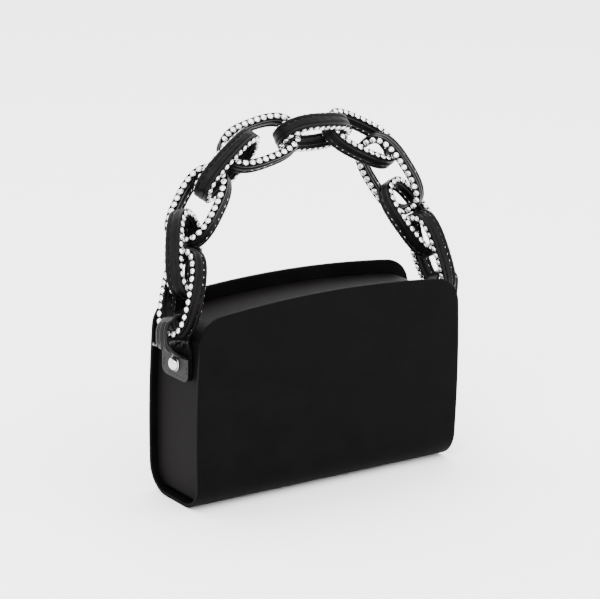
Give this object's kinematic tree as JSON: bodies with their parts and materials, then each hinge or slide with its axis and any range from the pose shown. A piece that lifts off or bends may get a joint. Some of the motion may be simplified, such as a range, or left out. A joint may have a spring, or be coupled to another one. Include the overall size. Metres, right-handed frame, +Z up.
{
  "type": "evening bag",
  "caption": "Small structured evening bag: a satin-covered box with raised rounded panels, an inset top flap that opens on a lined inside, and a jewelled chain handle on leather end tabs.",
  "frame": {"origin": "middle of the flat foot that the bag stands on", "axes": "+X along the bag's width, -Y is the front, +Z up"},
  "size_m": [0.2176, 0.0778, 0.2221],
  "materials": {
    "satin": "matt black satin over board",
    "gusset_satin": "black satin with a soft sheen",
    "lining_cloth": "black cloth",
    "core_satin": "black satin wound round the link",
    "leather": "semi-gloss black",
    "stones": "clear cut stones in silver cups",
    "silver": "polished",
    "steel": "plain",
    "board": "stiff board"
  },
  "bodies": {
    "bag": {"outer_wrap": "satin", "end_gusset_left": "gusset_satin", "end_gusset_right": "gusset_satin", "front_strip": "gusset_satin", "hinge_rail": "board", "magnet_rail": "lining_cloth", "base_board": "board", "lining": "lining_cloth", "slip_pocket": "lining_cloth", "rail_magnet_left": "steel", "rail_magnet_right": "steel", "leather_tab_left": "leather", "leather_tab_right": "leather", "stud_left": "silver", "stud_right": "silver", "stud_washer_left": "steel", "stud_washer_right": "steel"},
    "flap": {"top_flap": "gusset_satin", "flap_magnet_left": "steel", "flap_magnet_right": "steel"},
    "link_01": {"link_01_core": "core_satin", "link_01_stones_front": "stones", "link_01_stones_back": "stones"},
    "link_02": {"link_02_core": "core_satin", "link_02_stones_front": "stones", "link_02_stones_back": "stones"},
    "link_03": {"link_03_core": "core_satin", "link_03_stones_front": "stones", "link_03_stones_back": "stones"},
    "link_04": {"link_04_core": "core_satin", "link_04_stones_front": "stones", "link_04_stones_back": "stones"},
    "link_05": {"link_05_core": "core_satin", "link_05_stones_front": "stones", "link_05_stones_back": "stones"},
    "link_06": {"link_06_core": "core_satin", "link_06_stones_front": "stones", "link_06_stones_back": "stones"},
    "link_07": {"link_07_core": "core_satin", "link_07_stones_front": "stones", "link_07_stones_back": "stones"},
    "link_08": {"link_08_core": "core_satin", "link_08_stones_front": "stones", "link_08_stones_back": "stones"},
    "link_09": {"link_09_core": "core_satin", "link_09_stones_front": "stones", "link_09_stones_back": "stones"},
    "link_10": {"link_10_core": "core_satin", "link_10_stones_front": "stones", "link_10_stones_back": "stones"}
  },
  "joints": [
    {"name": "flap_hinge", "type": "hinge", "parent": "bag", "child": "flap", "pos_m": [0, -0.01895, 0.1165], "axis": [1, 0, 0], "range_deg": [0, 95]},
    {"name": "fold_1_left", "type": "hinge", "parent": "bag", "child": "link_01", "pos_m": [-0.099, -0.0055, 0.113], "axis": [1, 0, 0], "range_deg": [-9, 18]},
    {"name": "fold_1_right", "type": "hinge", "parent": "bag", "child": "link_10", "pos_m": [0.099, -0.0055, 0.113], "axis": [1, 0, 0], "range_deg": [-9, 18]},
    {"name": "fold_2_left", "type": "hinge", "parent": "link_01", "child": "link_02", "pos_m": [-0.088, 0.004, 0.1345], "axis": [0.9998, -0.0056, 0.0168], "range_deg": [-27, 15]},
    {"name": "fold_2_right", "type": "hinge", "parent": "link_10", "child": "link_09", "pos_m": [0.091, 0.003, 0.1375], "axis": [0.9998, -0.0056, 0.0168], "range_deg": [-27, 15]},
    {"name": "fold_3_left", "type": "hinge", "parent": "link_02", "child": "link_03", "pos_m": [-0.078, 0.0185, 0.1625], "axis": [1, -0.0031, 0.0063], "range_deg": [-39, 4]},
    {"name": "fold_3_right", "type": "hinge", "parent": "link_09", "child": "link_08", "pos_m": [0.081, 0.018, 0.1635], "axis": [1, -0.0031, 0.0063], "range_deg": [-39, 4]},
    {"name": "fold_4_left", "type": "hinge", "parent": "link_03", "child": "link_04", "pos_m": [-0.0555, 0.027, 0.181], "axis": [0.9993, 0.0347, 0.0116], "range_deg": [-18, 8]},
    {"name": "fold_4_right", "type": "hinge", "parent": "link_08", "child": "link_07", "pos_m": [0.074, 0.0315, 0.1825], "axis": [0.9993, 0.0347, 0.0116], "range_deg": [-18, 8]},
    {"name": "fold_5_left", "type": "hinge", "parent": "link_04", "child": "link_05", "pos_m": [-0.0295, 0.0355, 0.2035], "axis": [0.9902, -0.0678, 0.1221], "range_deg": [-15, 8]},
    {"name": "fold_5_right", "type": "hinge", "parent": "link_07", "child": "link_06", "pos_m": [0.0435, 0.0305, 0.2125], "axis": [0.9902, -0.0678, 0.1221], "range_deg": [-15, 8]}
  ],
  "couplings": [
    {"joint": "fold_1_right", "follows": "fold_1_left", "ratio": 1},
    {"joint": "fold_2_right", "follows": "fold_2_left", "ratio": 1},
    {"joint": "fold_3_right", "follows": "fold_3_left", "ratio": 1},
    {"joint": "fold_4_right", "follows": "fold_4_left", "ratio": 1},
    {"joint": "fold_5_right", "follows": "fold_5_left", "ratio": 1}
  ]
}
